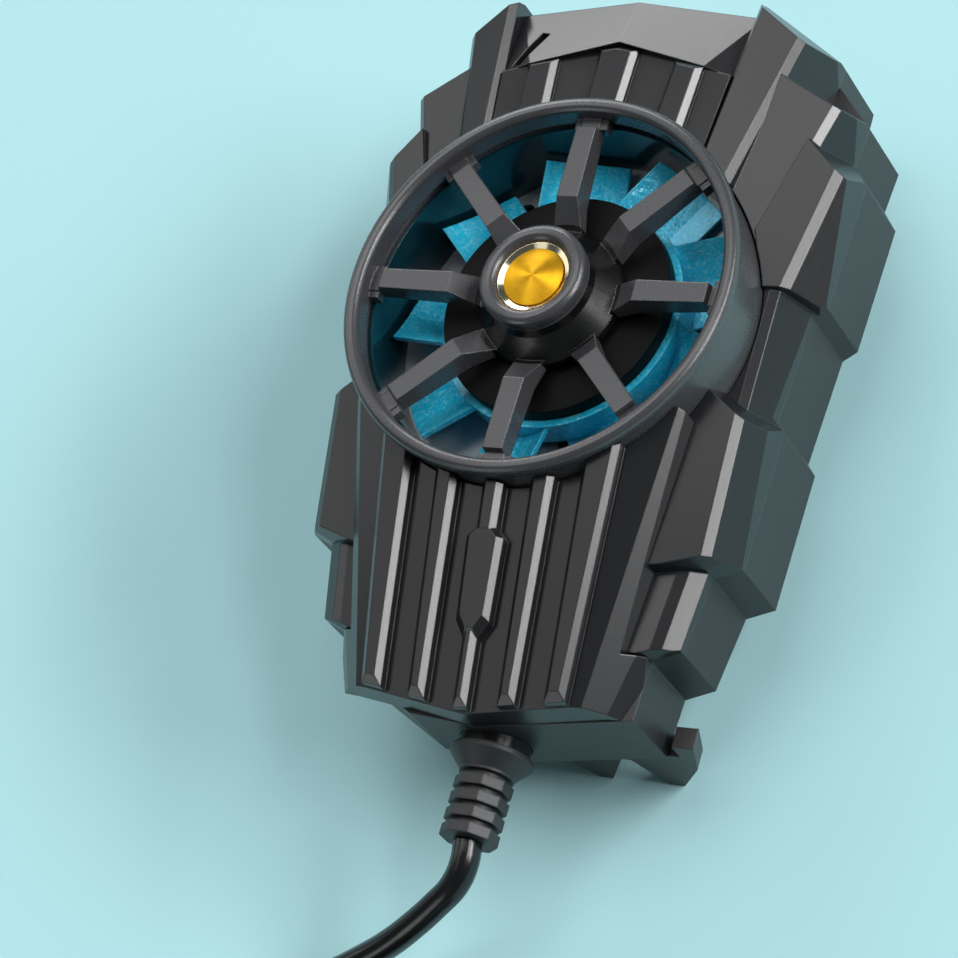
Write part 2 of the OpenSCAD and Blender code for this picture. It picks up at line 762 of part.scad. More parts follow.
// Two ceramic faces with rows of pellets between them
module cooling_cell() {
    face = 0.7;
    step = (cell - 3) / 6;
    color("#e9e7e2") translate([-cell / 2, -cell / 2, flange_top]) {
        cube([cell, cell, face]);
        translate([0, 0, cell_t - face])
            cube([cell, cell, face]);
        for (i = [0:5])
            translate([1.5 + step * i + 0.6, 1.5, face - eps])
                cube([step - 1.2, cell - 3, cell_t - 2 * face + 2 * eps]);
    }
}

module cold_plate() {
    color("#c4c7c9") {
        translate([-plate_x / 2, -plate_y / 2, pad_t])
            cube([plate_x, plate_y, floor_top - pad_t + eps]);
        translate([-plate_x / 2 - flange, -plate_y / 2 - 0.6, floor_top])
            cube([plate_x + 2 * flange, plate_y + 1.2, flange_t]);
    }
}

module phone_pad() {
    color("#8e9196") translate([-pad_x / 2, -pad_y / 2, 0])
        cube([pad_x, pad_y, pad_t]);
}

module control_board() {
    color("#1f5b3a") translate([-board_w / 2, -board_far, board_z])
        cube([board_w, board_l, board_t]);
}

module board_parts() {
    color("#2a2a2c") {
        translate([3 - board_w / 2, 2.5 - board_far, board_z + board_t])
            cube([7, 7, 3.4]);
        translate([board_w / 2 - 11, 3.5 - board_far, board_z + board_t])
            cube([5, 4.4, 1.5]);
        translate([board_w / 2 - 3.6, board_l - 4.9 - board_far, board_z + board_t])
            cylinder(h = 4.6, r = 2);
        translate([3.4 - board_w / 2, board_l - 6.1 - board_far, board_z + board_t])
            cube([6, 3.4, 3]);
    }
}

// Sweeps a round tube along a list of points
function tangent(p, i) = unit(p[min(i + 1, len(p) - 1)] - p[max(i - 1, 0)]);
module tube(path, r, sides, first = [0, 0, 0], last = [0, 0, 0]) {
    n = len(path);
    rings = [for (i = [0:n - 1])
        let (t = i == 0 && norm(first) > 0 ? unit(first) : i == n - 1 && norm(last) > 0 ? unit(last) : tangent(path, i),
            side = unit(cross(t, [0, 0, 1])), up = cross(side, t))
        for (k = [0:sides - 1])
            path[i] + r * (cos(360 * k / sides) * side + sin(360 * k / sides) * up)];
    walls = [for (i = [0:n - 2], k = [0:sides - 1])
        let (a = i * sides + k, b = i * sides + (k + 1) % sides)
        each [[a, b, b + sides], [a, b + sides, a + sides]]];
    ends = [for (k = [1:sides - 2]) each [[0, k + 1, k],
        [(n - 1) * sides, (n - 1) * sides + k, (n - 1) * sides + k + 1]]];
    polyhedron(points = rings, faces = concat(walls, ends));
}

// Motor wires from the board's connector up to the fan plate
wire_y = board_l - 2.7 - board_far;
wire_low = board_z + board_t + 1.4;
wire_run = -19.4 - wire_y;
motor_wire = [for (k = [[0, wire_low], [0.294, wire_low + 0.2], [0.588, 9], [0.824, 10.6], [0.971, 12], [1, plate_z]])
    [0, wire_y + k[0] * wire_run, k[1]]];

// Motor wires, cell wires and the lead's own cores inside the housing
module lead_wires() {
    color("#9a1f1a") {
        for (x = [-7.2, -5.6, -4])
            translate([x, 0, 0])
                tube(motor_wire, 0.5, 8, [0, 1, 0], [0, 0.01, 1]);
        for (x = [-8, 8])
            translate([x, -cell / 2, board_z + 0.5])
                rotate([90, 0, 0])
                    cylinder(h = board_far - board_l - cell / 2, r = 0.5);
        translate([0, -board_far, board_z + 0.4])
            rotate([90, 0, 0])
                cylinder(h = relief_start - board_far, r = 1.3);
    }
}

// Flat plate with two arms and a tongue that leaves through the top wall
slide_plan = [[14.5, 40.2], [14.5, jaw_y + 3], [arm_out, jaw_y - 3], [arm_out, -12],
    [arm_out - arm_w, -12], [arm_out - arm_w, jaw_y - 2], [0, jaw_y - 2]];
ear_y = -12;
ear_t = 2;

module slide_plate() {
    color("#6b6c70") {
        translate([0, 0, slide_z])
            linear_extrude(slide_t)
                polygon(concat([[0, 40.2]], slide_plan, flip([for (i = [0:5]) slide_plan[i]])));
        for (s = [-1, 1])
            translate([s > 0 ? arm_out - arm_w : -arm_out, ear_y, slide_z])
                cube([arm_w, ear_t, spring_z + 1.7 - slide_z]);
    }
}

// Wall and lip of the moving jaw, with the neck that joins the plate
module sliding_jaw() {
    color("#39383b") {
        translate([-jaw_half, jaw_y, back_gap - 0.4])
            cube([2 * jaw_half, jaw_t, slide_z - back_gap + 0.4]);
        translate([0, jaw_y + jaw_t, 0])
            rotate([90, 0, 0])
                linear_extrude(jaw_t)
                    polygon([[-jaw_half, back_gap - fit], [jaw_half, back_gap - fit], [jaw_half, 5 - jaw_reach],
                        [jaw_half - 2.4, -jaw_reach], [2.4 - jaw_half, -jaw_reach], [-jaw_half, 5 - jaw_reach]]);
        translate([2.4 - jaw_half, jaw_y - 1.6, -jaw_reach])
            cube([2 * jaw_half - 4.8, 1.6 + eps, 1.2]);
    }
}

grip_t = 0.8;

module sliding_grip() {
    rows = 5;
    color("#7d8085") translate([1 - jaw_half, jaw_y - grip_t, 1.6 - jaw_reach])
        difference() {
            cube([2 * jaw_half - 2, grip_t, 6.4]);
            for (i = [0:rows - 1])
                translate([-1, -0.6, 0.8 + 1.1 * i])
                    cube([2 * jaw_half, 0.9, 0.4]);
        }
}

// Jaw at the cord end: a foot screwed to the back, and three claws
claws = [
    [[-9, back_gap - fit], [-9, -1.4], [-6.8, -jaw_reach], [-5, -jaw_reach], [-1.4, -1.4], [-1.4, back_gap - fit]],
    [[3.2, back_gap - fit], [3.2, -1.4], [7, -jaw_reach], [8.6, -jaw_reach], [12.4, -1.4], [12.4, back_gap - fit]],
    [[13.6, back_gap - fit], [13.6, -1.4], [16, -jaw_reach], [18, -jaw_reach], [21.8, -2.4], [23.8, 4],
        [21, 4], [21, back_gap - fit]]];
jaw_foot = [[-9, 0], [18.6, 0], [18.6, 10], [-9, 10]];
jaw_screw_x = [-4, 14];
jaw_screw_y = 6 - fixed_y;

module fixed_jaw() {
    color("#39383b") difference() {
        union() {
            translate([0, -fixed_y, 0])
                rotate([90, 0, 0])
                    linear_extrude(jaw_t - 0.2) {
                        for (claw = claws)
                            polygon(claw);
                        translate([-9, -1.4])
                            square([30, back_gap - fit + 1.4]);
                    }
            translate([0, -fixed_y - eps, foot_z])
                linear_extrude(back_gap - foot_z)
                    polygon(jaw_foot);
        }
        for (x = jaw_screw_x)
            translate([x, jaw_screw_y, foot_z]) {
                translate([0, 0, -1])
                    cylinder(h = 5, r = screw_r);
                translate([0, 0, -1])
                    cylinder(h = 1.8, r = 2);
            }
    }
}

// A soft pad on the inner face of each claw
module fixed_grip() {
    color("#7d8085") for (x = [-5.2, 7.8, 17.6])
        translate([x, -fixed_y, 0])
            rotate([90, 0, 180])
                linear_extrude(grip_t)
                    polygon([[-2.6, -0.2], [2.6, -0.2], [2.6, -1.6], [0.6, -6.8], [-0.6, -6.8], [-2.6, -1.6]]);
}

// Two tension springs that draw the sliding plate toward the cord end
spring_x = arm_out - arm_w / 2;
spring_z = slide_top + 2.1;
spring_fix = ear_y - spring_l;
spring_r = (spring_d - wire_d) / 2;
spring_steps = 8;
spring_rise = (spring_l - 2 * wire_d) / turns;
spring_turns = [for (i = [0:turns * spring_steps])
    let (a = 360 * i / spring_steps)
    [spring_r * cos(a), spring_fix + wire_d + spring_rise * i / spring_steps, spring_r * sin(a)]];
spring_path = concat([[spring_r, spring_fix, 0]], spring_turns, [[spring_r, spring_fix + spring_l, 0]]);
echo(spring_least_gap = spring_rise - wire_d);

module coil_wire(path, r, sides) {
    n = len(path);
    rings = [for (i = [0:n - 1])
        let (t = tangent(path, i), out = unit([path[i].x, 0, path[i].z]), b = cross(t, out))
        for (k = [0:sides - 1])
            path[i] + r * (cos(360 * k / sides) * out + sin(360 * k / sides) * b)];
    walls = [for (i = [0:n - 2], k = [0:sides - 1])
        let (a = i * sides + k, b = i * sides + (k + 1) % sides)
        each [[a, b + sides, b], [a, a + sides, b + sides]]];
    ends = [for (k = [1:sides - 2]) each [[0, k, k + 1],
        [(n - 1) * sides, (n - 1) * sides + k + 1, (n - 1) * sides + k]]];
    polyhedron(points = rings, faces = concat(walls, ends));
}

module spring_right() {
    color("#b9bcc0") translate([spring_x, 0, spring_z])
        coil_wire(spring_path, wire_d / 2, 6);
}

module spring_left() {
    color("#b9bcc0") translate([-spring_x, 0, spring_z])
        coil_wire(spring_path, wire_d / 2, 6);
}

// Posts on the back wall that hold the fixed ends of the springs
module spring_posts() {
    color("#39383b") for (s = [-1, 1])
        translate([s * spring_x - 1.2, spring_fix - 1.6, floor_top])
            cube([2.4, 1.6, spring_z + 1.7 - floor_top]);
}

module screw(l, head_r = 1.9, head_t = 1.1) {
    difference() {
        cylinder(h = head_t, r = head_r);
        translate([-1.1, -0.2, -1])
            cube([2.2, 0.4, 1.5]);
        translate([-0.2, -1.1, -1])
            cube([0.4, 2.2, 1.5]);
    }
    translate([0, 0, head_t - eps])
        cylinder(h = l, r = screw_r * 0.8 - 0.02);
}

module shell_screws() {
    color("#2c2c2e") for (s = [-1, 1])
        for (p = [screw_top, screw_low])
            translate([p.x * s, p.y, back_gap + 0.3])
                screw(seam_z - back_gap + 1.2);
}

module jaw_screws() {
    color("#2c2c2e") for (x = jaw_screw_x)
        translate([x, jaw_screw_y, foot_z])
            screw(2.6, 1.8, 0.7);
}

module sink_screws() {
    color("#c0c2c4") for (x = [-15.2, 15.2])
        translate([x, 0, cell_top + sink_base_t])
            mirror([0, 0, 1]) {
                translate([0, 0, -0.8])
                    cylinder(h = 0.8, r = 1.2);
                translate([0, 0, -eps])
                    cylinder(h = cell_top + sink_base_t - flange_top, r = 0.78);
            }
}

// Black collar in the notch of the cord end
relief_start = cord_end - 2.4;
cup_y = cord_end + 1.1;
waist_y = cup_y + 2.8;
relief_end = waist_y + 2 * relief_ribs;

module cord_collar() {
    color("#0e0e10") translate([0, -relief_start, lead_z])
        rotate([90, 0, 0])
            cylinder(h = cup_y - relief_start, r = collar_r);
}

// Flared cup and eight-sided ribs
module strain_relief() {
    color("#3c3c3f") translate([0, 0, lead_z]) {
        rotate([90, 0, 0])
            rotate_extrude()
                polygon([[0, cup_y], [5, cup_y], [5, cup_y + 0.6], [relief_d / 2, waist_y - 0.3],
                    [relief_d / 2, waist_y], [0, waist_y]]);
        translate([0, -waist_y + eps, 0])
            rotate([90, 0, 0])
                cylinder(h = relief_end - waist_y, r = 2.5);
        for (i = [0:relief_ribs - 1])
            translate([0, -waist_y - 0.65 - 2 * i, 0])
                rotate([90, 22.5, 0])
                    cylinder(h = 1.35, r = relief_d / 2 + 0.2, $fn = 8);
    }
}

// Stored coil: loops spiral in and out again, in two layers
coil_mid = [-12, -113];
coil_turn = 180;
coil_loops = loops + 2 / 3;
coil_out = coil_turn + 360 * coil_loops;
floor_z = -jaw_reach;
loop_steps = 24;
coil_z = floor_z + lead_d / 2;
function coil_at(t) = let (a = coil_turn + 360 * t,
        r = coil_r - loop_pitch * min(t, coil_loops - t),
        climb = min(1, max(0, (t - coil_loops / 2 + 0.25) / 0.5)))
    [coil_mid.x + r * cos(a), coil_mid.y + r * sin(a), coil_z + loop_pitch * climb];
coil_path = [for (i = [0:round(coil_loops * loop_steps)]) coil_at(i / loop_steps)];
coil_gap = min([for (i = [0:2:len(coil_path) - 1], j = [0:len(coil_path) - 1])
    if (j > i + loop_steps / 2) norm(coil_path[i] - coil_path[j])]) - lead_d;
echo(coil_least_gap = coil_gap);
coil_dir = [-sin(coil_turn), cos(coil_turn), 0];
coil_out_dir = [-sin(coil_out), cos(coil_out), 0];

// Where the plug lies on the coil
coil_top = coil_z + loop_pitch + lead_d / 2;
plug_start = [-16.7, -93.5, coil_top + plug_t / 2 + 0.05];

// Route of the lead from the relief to the coil, chosen by hand
cord_path = [[0, -relief_end, lead_z], [0.1, -64.6, 5.8], [-0.9, -67, 4.8], [-3.2, -69, 3.4],
    [-6.6, -71.3, 1.4], [-10.3, -73.3, -0.7], [-14.4, -75.1, -2.6], [-19, -77, -4.3],
    [-24.5, -79.2, -5.5], [-29.6, -82.2, -6.1], [-33.9, -86.3, -6.25], [-37, -91.4, -6.25],
    [-39, -97, -6.25], [-39.9, -103, -6.25], coil_at(0)];
// Route from the coil to the plug
tail_path = [coil_at(coil_loops), [-0.6, -87.25, -2.02], [-3.2, -85.75, -1.4], [-7.7, -84.5, 0.05],
    [-12.2, -85.7, 1.67], [-15.5, -89, 3], plug_start];

module cord() {
    color("#101012") tube(cord_path, lead_d / 2, 8, [0, -1, 0], coil_dir);
}

module cord_coil() {
    color("#101012") tube(coil_path, lead_d / 2, 6, coil_dir, coil_out_dir);
}

module cord_tail() {
    color("#101012") tube(tail_path, lead_d / 2, 8, coil_out_dir, [0, -1, 0]);
}

module plug_body() {
    color("#161618") translate(plug_start) {
        rotate([90, 0, 0])
            cylinder(h = 7, r1 = 2.4, r2 = 3.4);
        translate([-plug_w / 2, -6.9 - plug_l, -plug_t / 2])
            difference() {
                cube([plug_w, plug_l, plug_t]);
                for (i = [0:3])
                    for (x = [-1, plug_w - 0.6])
                        translate([x, 8 + 3 * i, -1])
                            cube([1.6, 1.2, plug_t + 2]);
            }
    }
}

shell_w = 12;
shell_h = 4.5;
shell_l = 18.5;

module plug_shell() {
    color("#c9cbcd") translate([plug_start.x - shell_w / 2, plug_start.y - 6.9 - plug_l - shell_l, plug_start.z - shell_h / 2])
        difference() {
            cube([shell_w, shell_l, shell_h]);
            translate([0.3, -1, 0.3])
                cube([shell_w - 0.6, shell_l - 1, shell_h - 0.6]);
            for (x = [2.4, 7.4])
                translate([x, 5, -1])
                    cube([2.2, 2.4, 7]);
        }
}

module plug_tongue() {
    color("#f2f2f2") translate([plug_start.x - 5.6, plug_start.y - 6.9 - plug_l - shell_l + 1.2, plug_start.z - 0.1])
        cube([11.2, shell_l - 3.2, 1.9]);
}

back_shell();
front_cover();
armour_right();
armour_left();
end_cap();
fan_guard();
hub_trim();
hub_bezel();
hub_badge();
fan_shroud();
fan_plate();
bearing();
stator_core();
stator_coils();
motor_board();
impeller();
rotor_cup();
magnet_ring();
fan_shaft();
heat_sink();
cooling_cell();
cold_plate();
phone_pad();
control_board();
board_parts();
lead_wires();
slide_plate();
sliding_jaw();
sliding_grip();
fixed_jaw();
fixed_grip();
spring_right();
spring_left();
spring_posts();
shell_screws();
jaw_screws();
sink_screws();
cord_collar();
strain_relief();
cord();
cord_coil();
cord_tail();
plug_body();
plug_shell();
plug_tongue();
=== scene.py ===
# Clip-on phone cooler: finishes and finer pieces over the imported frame
import math

import bmesh
import bpy
from mathutils import Matrix, Vector


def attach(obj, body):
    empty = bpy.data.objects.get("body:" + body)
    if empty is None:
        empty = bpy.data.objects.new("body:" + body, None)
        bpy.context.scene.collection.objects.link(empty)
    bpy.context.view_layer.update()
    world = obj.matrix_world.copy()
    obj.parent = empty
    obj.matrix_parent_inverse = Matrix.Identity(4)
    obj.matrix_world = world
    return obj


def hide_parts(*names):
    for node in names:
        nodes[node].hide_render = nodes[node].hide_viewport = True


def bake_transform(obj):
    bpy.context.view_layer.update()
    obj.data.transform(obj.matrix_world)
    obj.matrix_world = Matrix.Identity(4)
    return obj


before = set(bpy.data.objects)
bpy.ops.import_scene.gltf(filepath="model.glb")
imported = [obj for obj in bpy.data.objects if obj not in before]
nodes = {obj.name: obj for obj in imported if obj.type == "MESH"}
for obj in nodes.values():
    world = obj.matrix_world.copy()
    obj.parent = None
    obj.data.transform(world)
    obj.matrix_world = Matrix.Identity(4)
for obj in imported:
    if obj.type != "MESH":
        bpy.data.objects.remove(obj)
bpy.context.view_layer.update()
mm = 0.001
bevelSamples = 6  # rays for the rounded edges that the finishes draw
print("frame:", len(nodes), "nodes")

cameraSetup = {
    "lens": 157.83,  # on a 36 mm sensor, for a square 958 x 958 frame
    "place": (0.22724, -0.20376, 0.41009),
    "right": (0.87848, 0.26303, -0.39887),
    "up": (-0.06213, 0.89063, 0.45047),
    "back": (0.47373, -0.37094, 0.79874),
}


def placeCamera(setup):
    data = bpy.data.cameras.new("viewCamera")
    data.lens = setup["lens"]
    data.sensor_width = 36
    camera = bpy.data.objects.new("viewCamera", data)
    axes = Matrix([setup["right"], setup["up"], setup["back"]]).transposed()
    camera.matrix_world = Matrix.Translation(setup["place"]) @ axes.to_4x4()
    bpy.context.collection.objects.link(camera)
    bpy.context.scene.camera = camera


placeCamera(cameraSetup)
print("camera placed")


def hexColor(text):
    # sRGB hex to the linear colour that shaders take
    parts = [int(text[i:i + 2], 16) / 255 for i in (1, 3, 5)]
    return [c / 12.92 if c <= 0.04045 else ((c + 0.055) / 1.055) ** 2.4 for c in parts] + [1]


def addNode(tree, kind, settings={}, links={}):
    # One shader node, its settings by socket or property name, and what feeds it
    made = tree.nodes.new("ShaderNode" + kind)
    for key, value in settings.items():
        if isinstance(key, int) or key in made.inputs:
            made.inputs[key].default_value = value
        else:
            setattr(made, key, value)
    for key, source in links.items():
        tree.links.new(source, made.inputs[key])
    return made


def newFinish(name):
    finish = bpy.data.materials.new(name)
    finish.use_nodes = True
    finish.node_tree.nodes.clear()
    return finish, finish.node_tree


def plasticFinish(name, spec):
    # A moulded plastic: cloudy tone, fine grain in the gloss, rounded and rubbed edges
    finish, tree = newFinish(name)
    place = addNode(tree, "TexCoord").outputs["Object"]
    cloud = addNode(tree, "TexNoise", {"Scale": 1000 / spec["cloud"], "Detail": 3}, {"Vector": place})
    grain = addNode(tree, "TexNoise", {"Scale": 1000 / spec["grain"], "Detail": 2}, {"Vector": place})
    edge = addNode(tree, "Bevel", {"samples": bevelSamples, "Radius": spec["edge"] * mm})
    face = addNode(tree, "NewGeometry")
    agree = addNode(tree, "VectorMath", {"operation": "DOT_PRODUCT"},
                    {0: edge.outputs["Normal"], 1: face.outputs["Normal"]})
    rim = addNode(tree, "MapRange", {"From Min": 0.995, "From Max": 0.85, "To Max": spec["wear"]},
                  {"Value": agree.outputs["Value"]})
    tone = addNode(tree, "Mix", {"data_type": "RGBA", 6: hexColor(spec["base"]), 7: hexColor(spec["pale"])},
                   {0: cloud.outputs["Fac"]})
    worn = addNode(tree, "Mix", {"data_type": "RGBA", 7: hexColor(spec["rubbed"])},
                   {0: rim.outputs["Result"], 6: tone.outputs[2]})
    rough = addNode(tree, "MapRange", {"To Min": spec["rough"][0], "To Max": spec["rough"][1]},
                    {"Value": grain.outputs["Fac"]})
    bump = addNode(tree, "Bump", {"Distance": spec["relief"] * mm},
                   {"Height": grain.outputs["Fac"], "Normal": edge.outputs["Normal"]})
    colour = worn.outputs[2]
    if "paintedHubShade" in spec:
        # Painted shade: the middle of the part, inside a radius and under a height, is painted nearly black
        # for the shade deep under the hub trim
        reach, top, shade = spec["paintedHubShade"]
        apart = addNode(tree, "SeparateXYZ", {}, {"Vector": place})
        flat = addNode(tree, "CombineXYZ", {}, {"X": apart.outputs["X"], "Y": apart.outputs["Y"]})
        radius = addNode(tree, "VectorMath", {"operation": "LENGTH"}, {0: flat.outputs["Vector"]})
        near = addNode(tree, "Math", {"operation": "LESS_THAN", 1: reach * mm},
                       {0: radius.outputs["Value"]})
        low = addNode(tree, "Math", {"operation": "LESS_THAN", 1: top * mm}, {0: apart.outputs["Z"]})
        hubShadeMask = addNode(tree, "Math", {"operation": "MULTIPLY"}, {0: near.outputs[0], 1: low.outputs[0]})
        colour = addNode(tree, "Mix", {"data_type": "RGBA", 7: hexColor(shade)},
                         {0: hubShadeMask.outputs[0], 6: colour}).outputs[2]
    shader = addNode(tree, "BsdfPrincipled",
                     {"IOR": spec["ior"], "Specular IOR Level": spec.get("gloss", 0.5)},
                     {"Base Color": colour, "Roughness": rough.outputs["Result"],
                      "Normal": bump.outputs["Normal"]})
    addNode(tree, "OutputMaterial", {}, {"Surface": shader.outputs["BSDF"]})
    return finish


def metalFinish(name, spec):
    # A worked metal: its marks run along one direction, or in all of them
    finish, tree = newFinish(name)
    place = addNode(tree, "TexCoord").outputs["Object"]
    lay = addNode(tree, "Mapping", {"Scale": [1000 / s for s in spec["marks"]]}, {"Vector": place})
    mark = addNode(tree, "TexNoise", {"Scale": 1, "Detail": 3}, {"Vector": lay.outputs["Vector"]})
    cloud = addNode(tree, "TexNoise", {"Scale": 1000 / spec["cloud"], "Detail": 3}, {"Vector": place})
    edge = addNode(tree, "Bevel", {"samples": bevelSamples, "Radius": spec["edge"] * mm})
    tone = addNode(tree, "Mix", {"data_type": "RGBA", 6: hexColor(spec["base"]), 7: hexColor(spec["pale"])},
                   {0: cloud.outputs["Fac"]})
    rough = addNode(tree, "MapRange", {"To Min": spec["rough"][0], "To Max": spec["rough"][1]},
                    {"Value": mark.outputs["Fac"]})
    bump = addNode(tree, "Bump", {"Distance": spec["relief"] * mm},
                   {"Height": mark.outputs["Fac"], "Normal": edge.outputs["Normal"]})
    shader = addNode(tree, "BsdfPrincipled", {"Metallic": 1},
                     {"Base Color": tone.outputs[2], "Roughness": rough.outputs["Result"],
                      "Normal": bump.outputs["Normal"]})
    addNode(tree, "OutputMaterial", {}, {"Surface": shader.outputs["BSDF"]})
    return finish


# Grain is a real 0.1 mm spark texture, drawn three times as coarse so that it shows
plasticSpecs = {
    # ABS with a spark-eroded surface: dark, satin, a soft sheen that spreads
    "sparkErodedAbs": {"base": "#1f1f21", "pale": "#262628", "rubbed": "#47474a", "cloud": 14,
                       "grain": 0.32, "edge": 0.25, "wear": 0.5, "rough": (0.34, 0.5), "relief": 0.012,
                       "ior": 1.53},
    # Satin lacquer over moulded ABS: smoother than the shell, its bevels catch the lamps
    "satinLacquerAbs": {"base": "#19191b", "pale": "#1f1f21", "rubbed": "#3c3c3f", "cloud": 18,
                        "grain": 0.3, "edge": 0.2, "wear": 0.5, "rough": (0.2, 0.28), "relief": 0.004,
                        "ior": 1.53},
    # Glass-filled nylon, moulded in a fine-ground tool: charcoal with an even gloss,
    # with painted shade, nearly black, where the hub is deep
    "mouldedNylon": {"base": "#363638", "pale": "#3f3f42", "rubbed": "#525256", "cloud": 12,
                     "grain": 0.26, "edge": 0.25, "wear": 0.4, "rough": (0.26, 0.29), "relief": 0.0008,
                     "ior": 1.58, "gloss": 0.6, "paintedHubShade": (9.3, 26.95, "#070708")},
    # Tinted ABS from a polished tool: deep teal with a wet gloss
    "polishedTealAbs": {"base": "#06222a", "pale": "#092b34", "rubbed": "#124754", "cloud": 10,
                        "grain": 0.5, "edge": 0.15, "wear": 0.3, "rough": (0.12, 0.2), "relief": 0.003,
                        "ior": 1.53},
    # Black ABS from an etched tool: flat black, hardly any sheen
    "etchedBlackAbs": {"base": "#060607", "pale": "#0a0a0b", "rubbed": "#1c1c1e", "cloud": 10,
                       "grain": 0.3, "edge": 0.25, "wear": 0.3, "rough": (0.5, 0.62), "relief": 0.006,
                       "ior": 1.53, "gloss": 0.15},
    # Black ABS from a polished tool
    "polishedBlackAbs": {"base": "#0c0c0d", "pale": "#121214", "rubbed": "#28282a", "cloud": 10,
                         "grain": 0.4, "edge": 0.25, "wear": 0.3, "rough": (0.16, 0.24),
                         "relief": 0.003, "ior": 1.53},
    # Extruded PVC jacket: black and glossy with a faint orange peel
    "extrudedPvc": {"base": "#0b0b0c", "pale": "#111113", "rubbed": "#1a1a1c", "cloud": 20,
                    "grain": 0.6, "edge": 0.1, "wear": 0.2, "rough": (0.2, 0.3), "relief": 0.01,
                    "ior": 1.53},
    # Thermoplastic rubber, moulded over the lead: duller than the shell
    "mouldedRubber": {"base": "#232325", "pale": "#2c2c2e", "rubbed": "#454548", "cloud": 6,
                      "grain": 0.3, "edge": 0.3, "wear": 0.5, "rough": (0.42, 0.56), "relief": 0.012,
                      "ior": 1.5},
    # Cast silicone: grey, matt, slightly dusty
    "castSilicone": {"base": "#6e7277", "pale": "#7d8186", "rubbed": "#93979b", "cloud": 5,
                     "grain": 0.35, "edge": 0.2, "wear": 0.4, "rough": (0.5, 0.66), "relief": 0.015,
                     "ior": 1.41},
    # Woven glass and epoxy under green solder resist
    "greenSolderResist": {"base": "#14432a", "pale": "#1c5636", "rubbed": "#3c7a58", "cloud": 3,
                          "grain": 0.4, "edge": 0.1, "wear": 0.5, "rough": (0.25, 0.4), "relief": 0.01,
                          "ior": 1.55},
    # Epoxy-moulded chips and capacitor sleeves
    "mouldedEpoxy": {"base": "#1d1d1f", "pale": "#262628", "rubbed": "#3a3a3c", "cloud": 4,
                     "grain": 0.25, "edge": 0.15, "wear": 0.4, "rough": (0.4, 0.55), "relief": 0.012,
                     "ior": 1.55},
    # Fired alumina: white, matt, a little warm
    "firedAlumina": {"base": "#dcdad4", "pale": "#e8e6e1", "rubbed": "#f2f1ee", "cloud": 4,
                     "grain": 0.3, "edge": 0.1, "wear": 0.3, "rough": (0.45, 0.6), "relief": 0.01,
                     "ior": 1.77},
    # Pressed ferrite magnet: charcoal, grainy
    "pressedFerrite": {"base": "#2c2b2b", "pale": "#383636", "rubbed": "#55504d", "cloud": 3,
                       "grain": 0.3, "edge": 0.15, "wear": 0.5, "rough": (0.5, 0.65), "relief": 0.02,
                       "ior": 1.6},
    # White nylon insulator
    "whiteNylon": {"base": "#e4e3de", "pale": "#eeede9", "rubbed": "#f7f7f4", "cloud": 5, "grain": 0.3,
                   "edge": 0.15, "wear": 0.3, "rough": (0.35, 0.45), "relief": 0.006, "ior": 1.53},
    # PVC-covered hook-up wire
    "redHookUpWire": {"base": "#7c1512", "pale": "#94201b", "rubbed": "#b54a42", "cloud": 5,
                      "grain": 0.4, "edge": 0.1, "wear": 0.3, "rough": (0.3, 0.42), "relief": 0.006,
                      "ior": 1.53},
}
